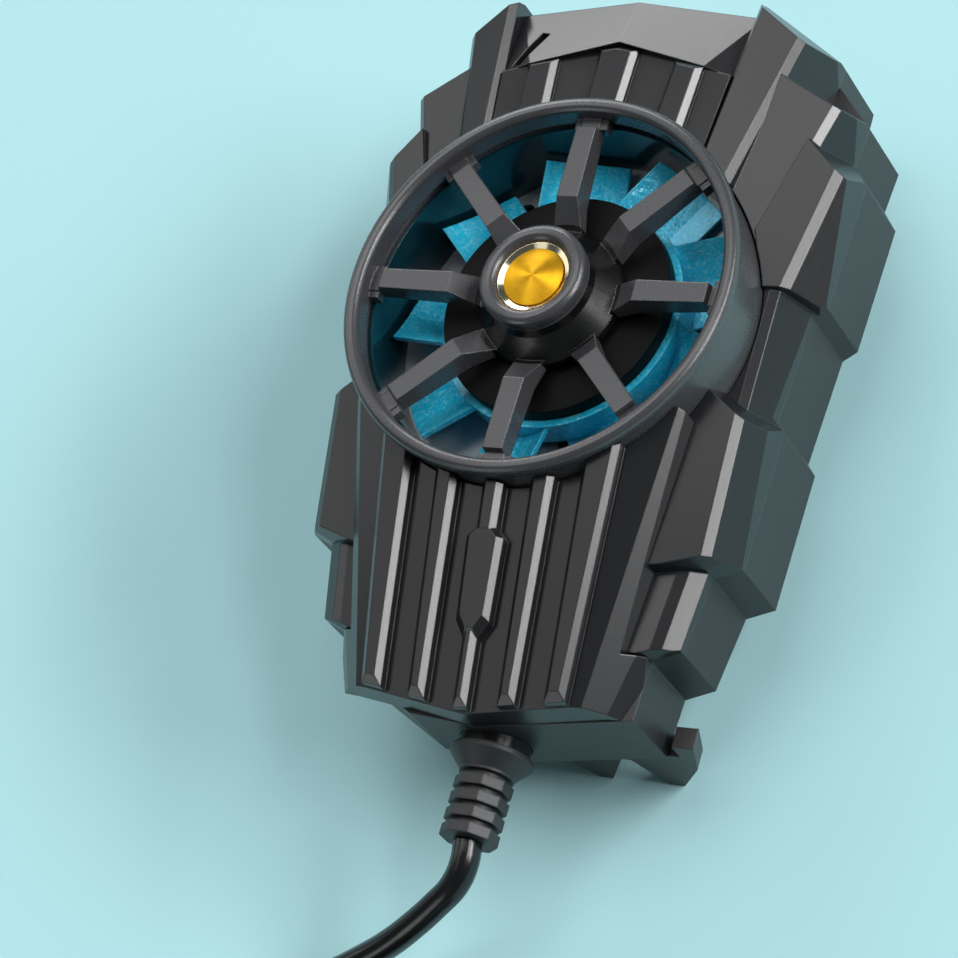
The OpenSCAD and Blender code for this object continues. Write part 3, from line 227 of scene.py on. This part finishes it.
metalSpecs = {
    # Bead-blasted nickel plate: pale and soft, it takes light from all round
    "blastedNickelPlate": {"base": "#d4d6d8", "pale": "#e6e8ea", "cloud": 8,
                           "marks": (0.25, 0.25, 0.25), "edge": 0.15, "rough": (0.5, 0.62),
                           "relief": 0.006},
    # Nickel-plated steel sheet, stamped and brushed: pale with fine straight lines
    "brushedNickelPlate": {"base": "#b4b6b8", "pale": "#c9cbcd", "cloud": 8, "marks": (3, 0.22, 0.22),
                           "edge": 0.12, "rough": (0.22, 0.38), "relief": 0.006},
    # Extruded aluminium: satin, die lines run along the fins
    "extrudedAluminium": {"base": "#a9acae", "pale": "#bcbfc1", "cloud": 9, "marks": (0.25, 5, 0.25),
                          "edge": 0.08, "rough": (0.34, 0.48), "relief": 0.008},
    # Milled aluminium: cutter marks across the plate
    "milledAluminium": {"base": "#b6b9bb", "pale": "#c8cbcd", "cloud": 12, "marks": (4, 0.3, 0.3),
                        "edge": 0.15, "rough": (0.25, 0.4), "relief": 0.008},
    # Zinc-plated steel sheet: bluish grey with a soft spangle
    "zincPlatedSteel": {"base": "#8f9498", "pale": "#a4a9ae", "cloud": 4, "marks": (0.5, 0.5, 0.5),
                        "edge": 0.15, "rough": (0.3, 0.45), "relief": 0.006},
    # Ground steel shaft
    "groundSteel": {"base": "#b8babb", "pale": "#c6c8ca", "cloud": 6, "marks": (0.2, 0.2, 2),
                    "edge": 0.1, "rough": (0.14, 0.24), "relief": 0.003},
    # Drawn spring wire: bright with lengthwise streaks
    "drawnSpringWire": {"base": "#a6a8aa", "pale": "#bcbec0", "cloud": 4, "marks": (0.3, 0.3, 0.3),
                        "edge": 0.05, "rough": (0.2, 0.32), "relief": 0.004},
    # Black oxide on steel screws: nearly black, slightly oily
    "blackOxideSteel": {"base": "#2a2a2c", "pale": "#37373a", "cloud": 2, "marks": (0.3, 0.3, 0.3),
                        "edge": 0.15, "rough": (0.28, 0.42), "relief": 0.006},
    # Laminated silicon steel: stacked sheets, seen as lines round the core
    "laminatedSteel": {"base": "#606366", "pale": "#787b7e", "cloud": 4, "marks": (4, 4, 0.35),
                       "edge": 0.08, "rough": (0.35, 0.5), "relief": 0.02},
    # Enamelled copper winding: warm, glossy, ribbed by its wire
    "enamelledCopper": {"base": "#9c4f22", "pale": "#b9652f", "cloud": 3, "marks": (4, 0.4, 0.4),
                        "edge": 0.2, "rough": (0.2, 0.35), "relief": 0.05},
    # Sintered bronze: golden brown and porous
    "sinteredBronze": {"base": "#8a6d33", "pale": "#a48443", "cloud": 3, "marks": (0.3, 0.3, 0.3),
                       "edge": 0.1, "rough": (0.35, 0.5), "relief": 0.01},
    # Polished nickel under a pale gold lacquer: bright and warm
    "polishedNickel": {"base": "#e2d6b0", "pale": "#f0e6c8", "cloud": 4, "marks": (0.4, 0.4, 0.4),
                       "edge": 0.15, "rough": (0.08, 0.16), "relief": 0.001},
}

print("shared finishes described")


def pearlFinish():
    # Cyan ABS with mica flakes, moulded: each flake tilts its own way and glints
    spec = {"base": "#1ccdf6", "flake": "#9aeefc", "flakeSize": 0.26, "flakeFrom": 0.55, "flakeShare": 0.5,
            "tilt": 0.2, "edge": 0.25, "metallic": 0.1, "rough": 0.3, "coat": 0.4, "coatRough": 0.12}
    finish, tree = newFinish("pearlescentAbs")
    place = addNode(tree, "TexCoord").outputs["Object"]
    flakes = addNode(tree, "TexVoronoi", {"Scale": 1000 / spec["flakeSize"]}, {"Vector": place})
    bright = addNode(tree, "SeparateColor", {}, {"Color": flakes.outputs["Color"]})
    share = addNode(tree, "MapRange",
                    {"From Min": spec["flakeFrom"], "From Max": 1, "To Max": spec["flakeShare"]},
                    {"Value": bright.outputs["Red"]})
    colours = {6: hexColor(spec["base"]), 7: hexColor(spec["flake"])}
    tone = addNode(tree, "Mix", {"data_type": "RGBA", **colours}, {0: share.outputs["Result"]})
    edge = addNode(tree, "Bevel", {"samples": bevelSamples, "Radius": spec["edge"] * mm})
    centred = addNode(tree, "VectorMath", {"operation": "SUBTRACT", 1: (0.5, 0.5, 0.5)},
                      {0: flakes.outputs["Color"]})
    tilt = addNode(tree, "VectorMath", {"operation": "SCALE", "Scale": spec["tilt"]},
                   {0: centred.outputs["Vector"]})
    leaning = addNode(tree, "VectorMath", {"operation": "ADD"},
                      {0: edge.outputs["Normal"], 1: tilt.outputs["Vector"]})
    normal = addNode(tree, "VectorMath", {"operation": "NORMALIZE"}, {0: leaning.outputs["Vector"]})
    shader = addNode(tree, "BsdfPrincipled",
                     {"Metallic": spec["metallic"], "Roughness": spec["rough"],
                      "Coat Weight": spec["coat"], "Coat Roughness": spec["coatRough"]},
                     {"Base Color": tone.outputs[2], "Normal": normal.outputs["Vector"]})
    addNode(tree, "OutputMaterial", {}, {"Surface": shader.outputs["BSDF"]})
    return finish


def badgeFinish():
    # Brass with a titanium nitride coat, turned on a lathe: gold that fans out from the middle
    spec = {"base": "#f0bf2c", "deep": "#cf8e18", "cloudScale": 900, "turning": 0.2, "relief": 0.003,
            "rough": 0.42, "anisotropy": 0.92}
    finish, tree = newFinish("turnedGoldBrass")
    place = addNode(tree, "TexCoord").outputs["Object"]
    apart = addNode(tree, "SeparateXYZ", {}, {"Vector": place})
    flat = addNode(tree, "CombineXYZ", {}, {"X": apart.outputs["X"], "Y": apart.outputs["Y"]})
    radius = addNode(tree, "VectorMath", {"operation": "LENGTH"}, {0: flat.outputs["Vector"]})
    rings = addNode(tree, "Math", {"operation": "MULTIPLY", 1: 2 * math.pi * 1000 / spec["turning"]},
                    {0: radius.outputs["Value"]})
    wave = addNode(tree, "Math", {"operation": "SINE"}, {0: rings.outputs["Value"]})
    bump = addNode(tree, "Bump", {"Distance": spec["relief"] * mm}, {"Height": wave.outputs["Value"]})
    cloud = addNode(tree, "TexNoise", {"Scale": spec["cloudScale"], "Detail": 3}, {"Vector": place})
    tone = addNode(tree, "Mix", {"data_type": "RGBA", 6: hexColor(spec["deep"]), 7: hexColor(spec["base"])},
                   {0: cloud.outputs["Fac"]})
    outward = addNode(tree, "VectorMath", {"operation": "NORMALIZE"}, {0: flat.outputs["Vector"]})
    shader = addNode(tree, "BsdfPrincipled",
                     {"Metallic": 1, "Roughness": spec["rough"], "Anisotropic": spec["anisotropy"]},
                     {"Base Color": tone.outputs[2], "Normal": bump.outputs["Normal"],
                      "Tangent": outward.outputs["Vector"]})
    addNode(tree, "OutputMaterial", {}, {"Surface": shader.outputs["BSDF"]})
    return finish


finishes = {name: plasticFinish(name, spec) for name, spec in plasticSpecs.items()}
finishes.update({name: metalFinish(name, spec) for name, spec in metalSpecs.items()})
finishes["pearlescentAbs"] = pearlFinish()
finishes["turnedGoldBrass"] = badgeFinish()
print("finishes made:", len(finishes))

nodeFinishes = {
    "back_shell": "sparkErodedAbs", "front_cover": "satinLacquerAbs", "armour_right": "satinLacquerAbs",
    "armour_left": "satinLacquerAbs", "end_cap": "satinLacquerAbs", "fan_guard": "mouldedNylon",
    "hub_trim": "mouldedNylon", "hub_bezel": "polishedNickel", "hub_badge": "turnedGoldBrass",
    "fan_shroud": "polishedTealAbs", "fan_plate": "blastedNickelPlate", "bearing": "sinteredBronze",
    "stator_core": "laminatedSteel", "stator_coils": "enamelledCopper", "motor_board": "greenSolderResist",
    "impeller": "pearlescentAbs", "rotor_cup": "etchedBlackAbs", "magnet_ring": "pressedFerrite",
    "fan_shaft": "groundSteel", "heat_sink": "extrudedAluminium", "cooling_cell": "firedAlumina",
    "cold_plate": "milledAluminium", "phone_pad": "castSilicone", "control_board": "greenSolderResist",
    "board_parts": "mouldedEpoxy", "lead_wires": "redHookUpWire", "slide_plate": "zincPlatedSteel",
    "sliding_jaw": "sparkErodedAbs", "sliding_grip": "castSilicone", "fixed_jaw": "sparkErodedAbs",
    "fixed_grip": "castSilicone", "spring_right": "drawnSpringWire", "spring_left": "drawnSpringWire",
    "spring_posts": "sparkErodedAbs", "shell_screws": "blackOxideSteel", "jaw_screws": "blackOxideSteel",
    "sink_screws": "zincPlatedSteel", "cord_collar": "polishedBlackAbs", "strain_relief": "mouldedRubber",
    "cord": "extrudedPvc", "cord_coil": "extrudedPvc", "cord_tail": "extrudedPvc",
    "plug_body": "extrudedPvc", "plug_shell": "brushedNickelPlate", "plug_tongue": "whiteNylon",
}


def dress(piece, finish):
    if not piece.material_slots:
        piece.data.materials.append(None)
    for slot in piece.material_slots:
        slot.material = finishes[finish]


for name, finish in nodeFinishes.items():
    dress(nodes[name], finish)
print("frame dressed")

leadSetup = {
    "diameter": 0.0035,
    "coilMiddle": (-0.012, -0.113, -0.00625),
    "coilRadius": 0.028,
    "pitch": 0.004,  # a loop lies this far inside the one before it
    "loops": 26 / 3,
    "climbLoops": 0.5,  # the part of a loop in which the lead climbs to the upper layer
    "startAngle": 180,
    "stepsPerLoop": 24,
    "length": 1.15,
}
# The lead's route from the relief to the coil, and from the coil to the plug
leadRoute = [
    (0, -0.0621, 0.0062), (0.0001, -0.0646, 0.0058), (-0.0009, -0.067, 0.0048), (-0.0032, -0.069, 0.0034),
    (-0.0066, -0.0713, 0.0014), (-0.0103, -0.0733, -0.0007), (-0.0144, -0.0751, -0.0026),
    (-0.019, -0.077, -0.0043), (-0.0245, -0.0792, -0.0055), (-0.0296, -0.0822, -0.0061),
    (-0.0339, -0.0863, -0.00625), (-0.037, -0.0914, -0.00625), (-0.039, -0.097, -0.00625),
    (-0.0399, -0.103, -0.00625),
]
tailRoute = [
    (-0.0006, -0.08725, -0.00202), (-0.0032, -0.08575, -0.0014), (-0.0077, -0.0845, 0.00005),
    (-0.0122, -0.0857, 0.00167), (-0.0155, -0.089, 0.003), (-0.0167, -0.0935, 0.00355),
]


def coilPlace(loop, setup):
    turn = math.radians(setup["startAngle"] + 360 * loop)
    radius = setup["coilRadius"] - setup["pitch"] * min(loop, setup["loops"] - loop)
    climb = min(1, max(0, (loop - setup["loops"] / 2 + setup["climbLoops"] / 2) / setup["climbLoops"]))
    x, y, z = setup["coilMiddle"]
    return (x + radius * math.cos(turn), y + radius * math.sin(turn), z + setup["pitch"] * climb)


def tubeCurve(name, places, diameter, fineness=4):
    # A round wire or lead on one smooth open curve
    curve = bpy.data.curves.new(name, "CURVE")
    curve.dimensions = "3D"
    curve.bevel_depth = diameter / 2
    curve.bevel_resolution = 3
    curve.resolution_u = fineness
    curve.use_fill_caps = True
    line = curve.splines.new("BEZIER")
    line.bezier_points.add(len(places) - 1)
    for knot, place in zip(line.bezier_points, places):
        knot.co = place
        knot.handle_left_type = knot.handle_right_type = "AUTO"
    piece = bpy.data.objects.new(name, curve)
    bpy.context.collection.objects.link(piece)
    return piece


def sectionLoft(name, start, sections, corners=6, turned=0):
    # A moulding that runs along -Y, then turned about X: rounded rectangles, each
    # (distance, half width, half height, corner) in mm
    mesh = bmesh.new()
    rings = []
    for along, wide, high, corner in sections:
        ring = []
        for quarter in range(4):
            cx = (wide - corner) * (1, -1, -1, 1)[quarter]
            cz = (high - corner) * (1, 1, -1, -1)[quarter]
            for i in range(corners + 1):
                turn = math.pi / 2 * (quarter + i / corners)
                ring.append(mesh.verts.new(((cx + corner * math.cos(turn)) * mm, -along * mm,
                                            (cz + corner * math.sin(turn)) * mm)))
        rings.append(ring)
    count = len(rings[0])
    for low, high in zip(rings, rings[1:]):
        for i in range(count):
            mesh.faces.new((low[i], low[(i + 1) % count], high[(i + 1) % count], high[i]))
    mesh.faces.new(rings[0][::-1])
    mesh.faces.new(rings[-1])
    bmesh.ops.recalc_face_normals(mesh, faces=mesh.faces)
    mesh.transform(Matrix.Translation(start) @ Matrix.Rotation(math.radians(turned), 4, "X"))
    return finishMesh(name, mesh)


def sweepTube(mesh, places, radius, sides=12):
    # A round tube along a list of points, added to a mesh; its rings don't twist
    places = [Vector(place) for place in places]
    side, rings = None, []
    for i, place in enumerate(places):
        along = (places[min(i + 1, len(places) - 1)] - places[max(i - 1, 0)]).normalized()
        if side is None:
            side = along.orthogonal()
        side = (side - along * side.dot(along)).normalized()
        up = along.cross(side)
        rings.append([mesh.verts.new(place + radius * (math.cos(2 * math.pi * k / sides) * side
                                                       + math.sin(2 * math.pi * k / sides) * up))
                      for k in range(sides)])
    for low, high in zip(rings, rings[1:]):
        for k in range(sides):
            mesh.faces.new((low[k], low[(k + 1) % sides], high[(k + 1) % sides], high[k]))
    mesh.faces.new(rings[0][::-1])
    mesh.faces.new(rings[-1])


def roundedPrism(mesh, outline, start, reach, edge):
    # An outline of 3-D points, carried from start along reach, with every edge rounded
    part = bmesh.new()
    low = [part.verts.new(Vector(start) + Vector(point)) for point in outline]
    high = [part.verts.new(vertex.co + Vector(reach)) for vertex in low]
    count = len(outline)
    part.faces.new(low)
    part.faces.new(high[::-1])
    for i in range(count):
        part.faces.new((low[i], high[i], high[(i + 1) % count], low[(i + 1) % count]))
    bmesh.ops.recalc_face_normals(part, faces=part.faces)
    bmesh.ops.bevel(part, geom=list(part.edges), offset=edge, segments=3, profile=0.5, affect="EDGES")
    rounded = bpy.data.meshes.new("roundedPrism")
    part.to_mesh(rounded)
    part.free()
    mesh.from_mesh(rounded)
    bpy.data.meshes.remove(rounded)


def finishMesh(name, mesh, smoothAngle=35):
    data = bpy.data.meshes.new(name)
    mesh.to_mesh(data)
    mesh.free()
    piece = bpy.data.objects.new(name, data)
    bpy.context.collection.objects.link(piece)
    data.shade_smooth()
    data.set_sharp_from_angle(angle=math.radians(smoothAngle))
    return piece


# Place in metres, the rest in mm
plugSetup = {"start": (-0.0167, -0.0935, 0.00355), "halfWidth": 7.7, "halfHeight": 4, "ribs": 4,
             "firstRib": 14.5, "ribPitch": 3, "ribDepth": 0.45}


def makePlugBody(setup):
    # Overmoulded plug: a round neck that swells into a slim body with ribbed flanks
    wide, high = setup["halfWidth"], setup["halfHeight"]
    sections = [(0, 1.9, 1.9, 1.85), (0.3, 2.3, 2.3, 2.25), (3, 2.7, 2.7, 2.6), (6.2, 3.2, 3.1, 2.8),
                (7.2, 5.2, 3.4, 2.4), (8.2, 6.9, 3.8, 2), (9.4, 7.55, 3.95, 1.8), (13.6, wide, high, 1.6)]
    for i in range(setup["ribs"]):
        along = setup["firstRib"] + setup["ribPitch"] * i
        groove = wide - setup["ribDepth"]
        sections += [(along, wide, high, 1.6), (along + 0.35, groove, high, 1.4),
                     (along + 1.05, groove, high, 1.4), (along + 1.4, wide, high, 1.6)]
    sections += [(29.6, wide, high, 1.5), (30.5, 7.5, 3.8, 1.3), (30.9, 7, 3.3, 1)]
    return sectionLoft("plugBody", setup["start"], sections)


plugBody = makePlugBody(plugSetup)
dress(plugBody, "extrudedPvc")
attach(plugBody, "housing")
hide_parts("plug_body")

coilSteps = round(leadSetup["loops"] * leadSetup["stepsPerLoop"])
coilRoute = [coilPlace(i / leadSetup["stepsPerLoop"], leadSetup) for i in range(coilSteps + 1)]
leadPlaces = leadRoute + coilRoute + tailRoute
usbLead = tubeCurve("usbLead", leadPlaces, leadSetup["diameter"])
dress(usbLead, "extrudedPvc")
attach(usbLead, "housing")
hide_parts("cord", "cord_coil", "cord_tail")
print("lead and plug made")

# Cooling pad: a soft sheet with rounded edges under the cold plate, all in mm
padSetup = {"width": 34, "length": 26, "thick": 0.6, "corner": 1.6, "edge": 0.18}


def makePad(setup):
    wide, long, thick, edge = setup["width"] / 2, setup["length"] / 2, setup["thick"], setup["edge"]
    sections = []
    for i in range(5):
        turn = math.pi / 8 * i
        inset = edge * (1 - math.sin(turn))
        sections.append((edge * (1 - math.cos(turn)), wide - inset, long - inset, setup["corner"]))
    sections += [(thick - along, a, b, c) for along, a, b, c in reversed(sections)]
    return sectionLoft("phonePad", (0, 0, 0), sections, turned=-90)


phonePad = makePad(padSetup)
dress(phonePad, "castSilicone")
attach(phonePad, "housing")
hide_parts("phone_pad")

# Grips on the jaws: ribbed strip on the sliding one, a pad on each claw of the fixed one, in mm
gripSetup = {
    "sliding": {"start": (-10.5, 16.8, -6.4), "width": 21, "depth": 0.8, "height": 6.4, "grooves": 5,
                "firstGroove": 0.8, "groovePitch": 1.1, "grooveWidth": 0.4, "grooveDepth": 0.3},
    "fixed": {"places": (-5.2, 7.8, 17.6), "y": -44.6, "depth": 0.8,
              "outline": ((-2.6, -0.2), (2.6, -0.2), (2.6, -1.6), (0.6, -6.8), (-0.6, -6.8), (-2.6, -1.6))},
    "edge": 0.09,
}


def makeSlidingGrip(setup, edge):
    depth, top = setup["depth"], setup["height"]
    profile = [(depth, 0), (0, 0)]
    for i in range(setup["grooves"]):
        low = setup["firstGroove"] + setup["groovePitch"] * i
        high = low + setup["grooveWidth"]
        profile += [(0, low), (setup["grooveDepth"], low), (setup["grooveDepth"], high), (0, high)]
    profile += [(0, top), (depth, top)]
    mesh = bmesh.new()
    roundedPrism(mesh, [(0, y * mm, z * mm) for y, z in profile], [c * mm for c in setup["start"]],
                 (setup["width"] * mm, 0, 0), edge * mm)
    return finishMesh("slidingGrip", mesh)


def makeFixedGrip(setup, edge):
    mesh = bmesh.new()
    for x in setup["places"]:
        roundedPrism(mesh, [(a * mm, 0, b * mm) for a, b in setup["outline"]], (x * mm, setup["y"] * mm, 0),
                     (0, setup["depth"] * mm, 0), edge * mm)
    return finishMesh("fixedGrip", mesh)


slidingGrip = makeSlidingGrip(gripSetup["sliding"], gripSetup["edge"])
dress(slidingGrip, "castSilicone")
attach(slidingGrip, "slider")
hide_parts("sliding_grip")
fixedGrip = makeFixedGrip(gripSetup["fixed"], gripSetup["edge"])
dress(fixedGrip, "castSilicone")
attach(fixedGrip, "housing")
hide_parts("fixed_grip")
print("pad and grips made")

# Clamp springs: open-wound here, because the clamp has drawn them out a little, in mm
springSetup = {"x": 20.85, "start": -27, "length": 15, "z": 7.2, "radius": 1.45, "wire": 0.5, "turns": 11,
               "stepsPerTurn": 20, "sides": 8}


def makeSpring(name, side, setup):
    wire, turns, steps = setup["wire"], setup["turns"], setup["stepsPerTurn"]
    rise = (setup["length"] - 2 * wire) / turns
    places = [(setup["radius"], setup["start"], 0)]
    for i in range(turns * steps + 1):
        turn = 2 * math.pi * i / steps
        places.append((setup["radius"] * math.cos(turn), setup["start"] + wire + rise * i / steps,
                       setup["radius"] * math.sin(turn)))
    places.append((setup["radius"], setup["start"] + setup["length"], 0))
    mesh = bmesh.new()
    sweepTube(mesh, [((side * setup["x"] + x) * mm, y * mm, (setup["z"] + z) * mm) for x, y, z in places],
              wire / 2 * mm, setup["sides"])
    return finishMesh(name, mesh, 60)


for name, node, side in (("springRight", "spring_right", 1), ("springLeft", "spring_left", -1)):
    spring = makeSpring(name, side, springSetup)
    dress(spring, "drawnSpringWire")
    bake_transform(spring)
    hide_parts(node)
print("springs made")

# Wires inside: motor wires to the fan plate, cell wires under the heat sink, the lead's sheath, in mm
wireSetup = {
    "radius": 0.5,
    "motor": ((0, -26.2, 7.8), (0, -25.2, 7.82), (0, -24.2, 8), (0, -23.2, 8.4), (0, -22.2, 9),
              (0, -21.35, 9.8), (0, -20.6, 10.6), (0, -20, 11.3), (0, -19.6, 12), (0, -19.4, 12.6),
              (0, -19.4, 13.1)),
    "motorPlaces": (-7.2, -5.6, -4),
    "cell": ((0, -12.5, 5.9), (0, -15, 5.9), (0, -18, 5.9), (0, -21, 5.9), (0, -23.5, 5.9)),
    "cellPlaces": (-8, 8),
    "sheath": ((0, -41.5, 5.8), (0, -43.5, 5.8), (0, -45.5, 5.8), (0, -47.8, 5.8)),
    "sheathRadius": 1.3,
}


def makeWires(name, runs):
    mesh = bmesh.new()
    for offset, places, radius in runs:
        sweepTube(mesh, [((x + offset) * mm, y * mm, z * mm) for x, y, z in places], radius * mm)
    piece = finishMesh(name, mesh, 60)
    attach(piece, "housing")
    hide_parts("lead_wires")
    return piece


motorRuns = [(x, wireSetup["motor"], wireSetup["radius"]) for x in wireSetup["motorPlaces"]]
cellRuns = [(x, wireSetup["cell"], wireSetup["radius"]) for x in wireSetup["cellPlaces"]]
hookUpWires = makeWires("hookUpWires", motorRuns + cellRuns)
dress(hookUpWires, "redHookUpWire")
leadSheath = makeWires("leadSheath", [(0, wireSetup["sheath"], wireSetup["sheathRadius"])])
dress(leadSheath, "extrudedPvc")
print("wires made")

studioSetup = {
    "floor": "#abd7dc",
    "floorCloud": "#add9de",
    "floorHalf": 3,
    "floorTop": -8.05,  # mm, just under the jaws' tips
    "cloudScale": 3,
    "middle": (0, 0, 0.02),
    "distance": 2.25,  # far enough to light the floor about evenly
    # name: direction from the part, width, height, radiance
    "lamps": {
        "overheadBox": ((-0.1, 0.32, 0.95), 2.15, 1.15, 2.3),
        "slopeBox": ((-0.47, -0.16, 0.87), 0.85, 0.65, 0.9),
        "rightStrip": ((0.84, 0.26, 0.477), 1.75, 0.5, 18),
        "upperStrip": ((0.68, 0.06, 0.73), 0.9, 0.325, 13),
        "farBox": ((-0.42, 0.81, 0.38), 1.25, 0.75, 7),
        "leftBox": ((-0.83, 0.22, 0.5), 1.25, 1.25, 1.2),
        "frontFill": ((-0.45, -0.8, 0.3), 1, 0.75, 2),
    },
    "world": ("#d3e3e6", 0.12),
}


def lightStudio(setup):
    for name, (way, width, height, radiance) in setup["lamps"].items():
        data = bpy.data.lights.new(name, "AREA")
        data.shape = "RECTANGLE"
        data.size, data.size_y = width, height
        data.energy = radiance * math.pi * width * height
        lamp = bpy.data.objects.new(name, data)
        way = Vector(way).normalized()
        lamp.rotation_mode = "QUATERNION"
        lamp.rotation_quaternion = way.to_track_quat("Z", "Y")
        lamp.location = Vector(setup["middle"]) + way * setup["distance"]
        bpy.context.collection.objects.link(lamp)
    world = bpy.data.worlds.new("studioWorld")
    world.use_nodes = True
    tree = world.node_tree
    tree.nodes.clear()
    colour, strength = setup["world"]
    sky = addNode(tree, "Background", {"Color": hexColor(colour), "Strength": strength})
    addNode(tree, "OutputWorld", {}, {"Surface": sky.outputs["Background"]})
    bpy.context.scene.world = world


def layFloor(setup):
    mesh = bmesh.new()
    bmesh.ops.create_grid(mesh, x_segments=8, y_segments=8, size=setup["floorHalf"])
    bmesh.ops.translate(mesh, verts=mesh.verts, vec=(0, 0, setup["floorTop"] * mm))
    floor = finishMesh("studioFloor", mesh)
    # Matt painted board: pale, even, no gloss
    finish, tree = newFinish("mattPaintedBoard")
    place = addNode(tree, "TexCoord").outputs["Object"]
    cloud = addNode(tree, "TexNoise", {"Scale": setup["cloudScale"], "Detail": 2}, {"Vector": place})
    colours = {6: hexColor(setup["floor"]), 7: hexColor(setup["floorCloud"])}
    tone = addNode(tree, "Mix", {"data_type": "RGBA", **colours}, {0: cloud.outputs["Fac"]})
    shader = addNode(tree, "BsdfDiffuse", {}, {"Color": tone.outputs[2]})
    addNode(tree, "OutputMaterial", {}, {"Surface": shader.outputs["BSDF"]})
    floor.data.materials.append(finish)


lightStudio(studioSetup)
layFloor(studioSetup)
bpy.context.scene.view_settings.view_transform = "Standard"
print("studio lit")
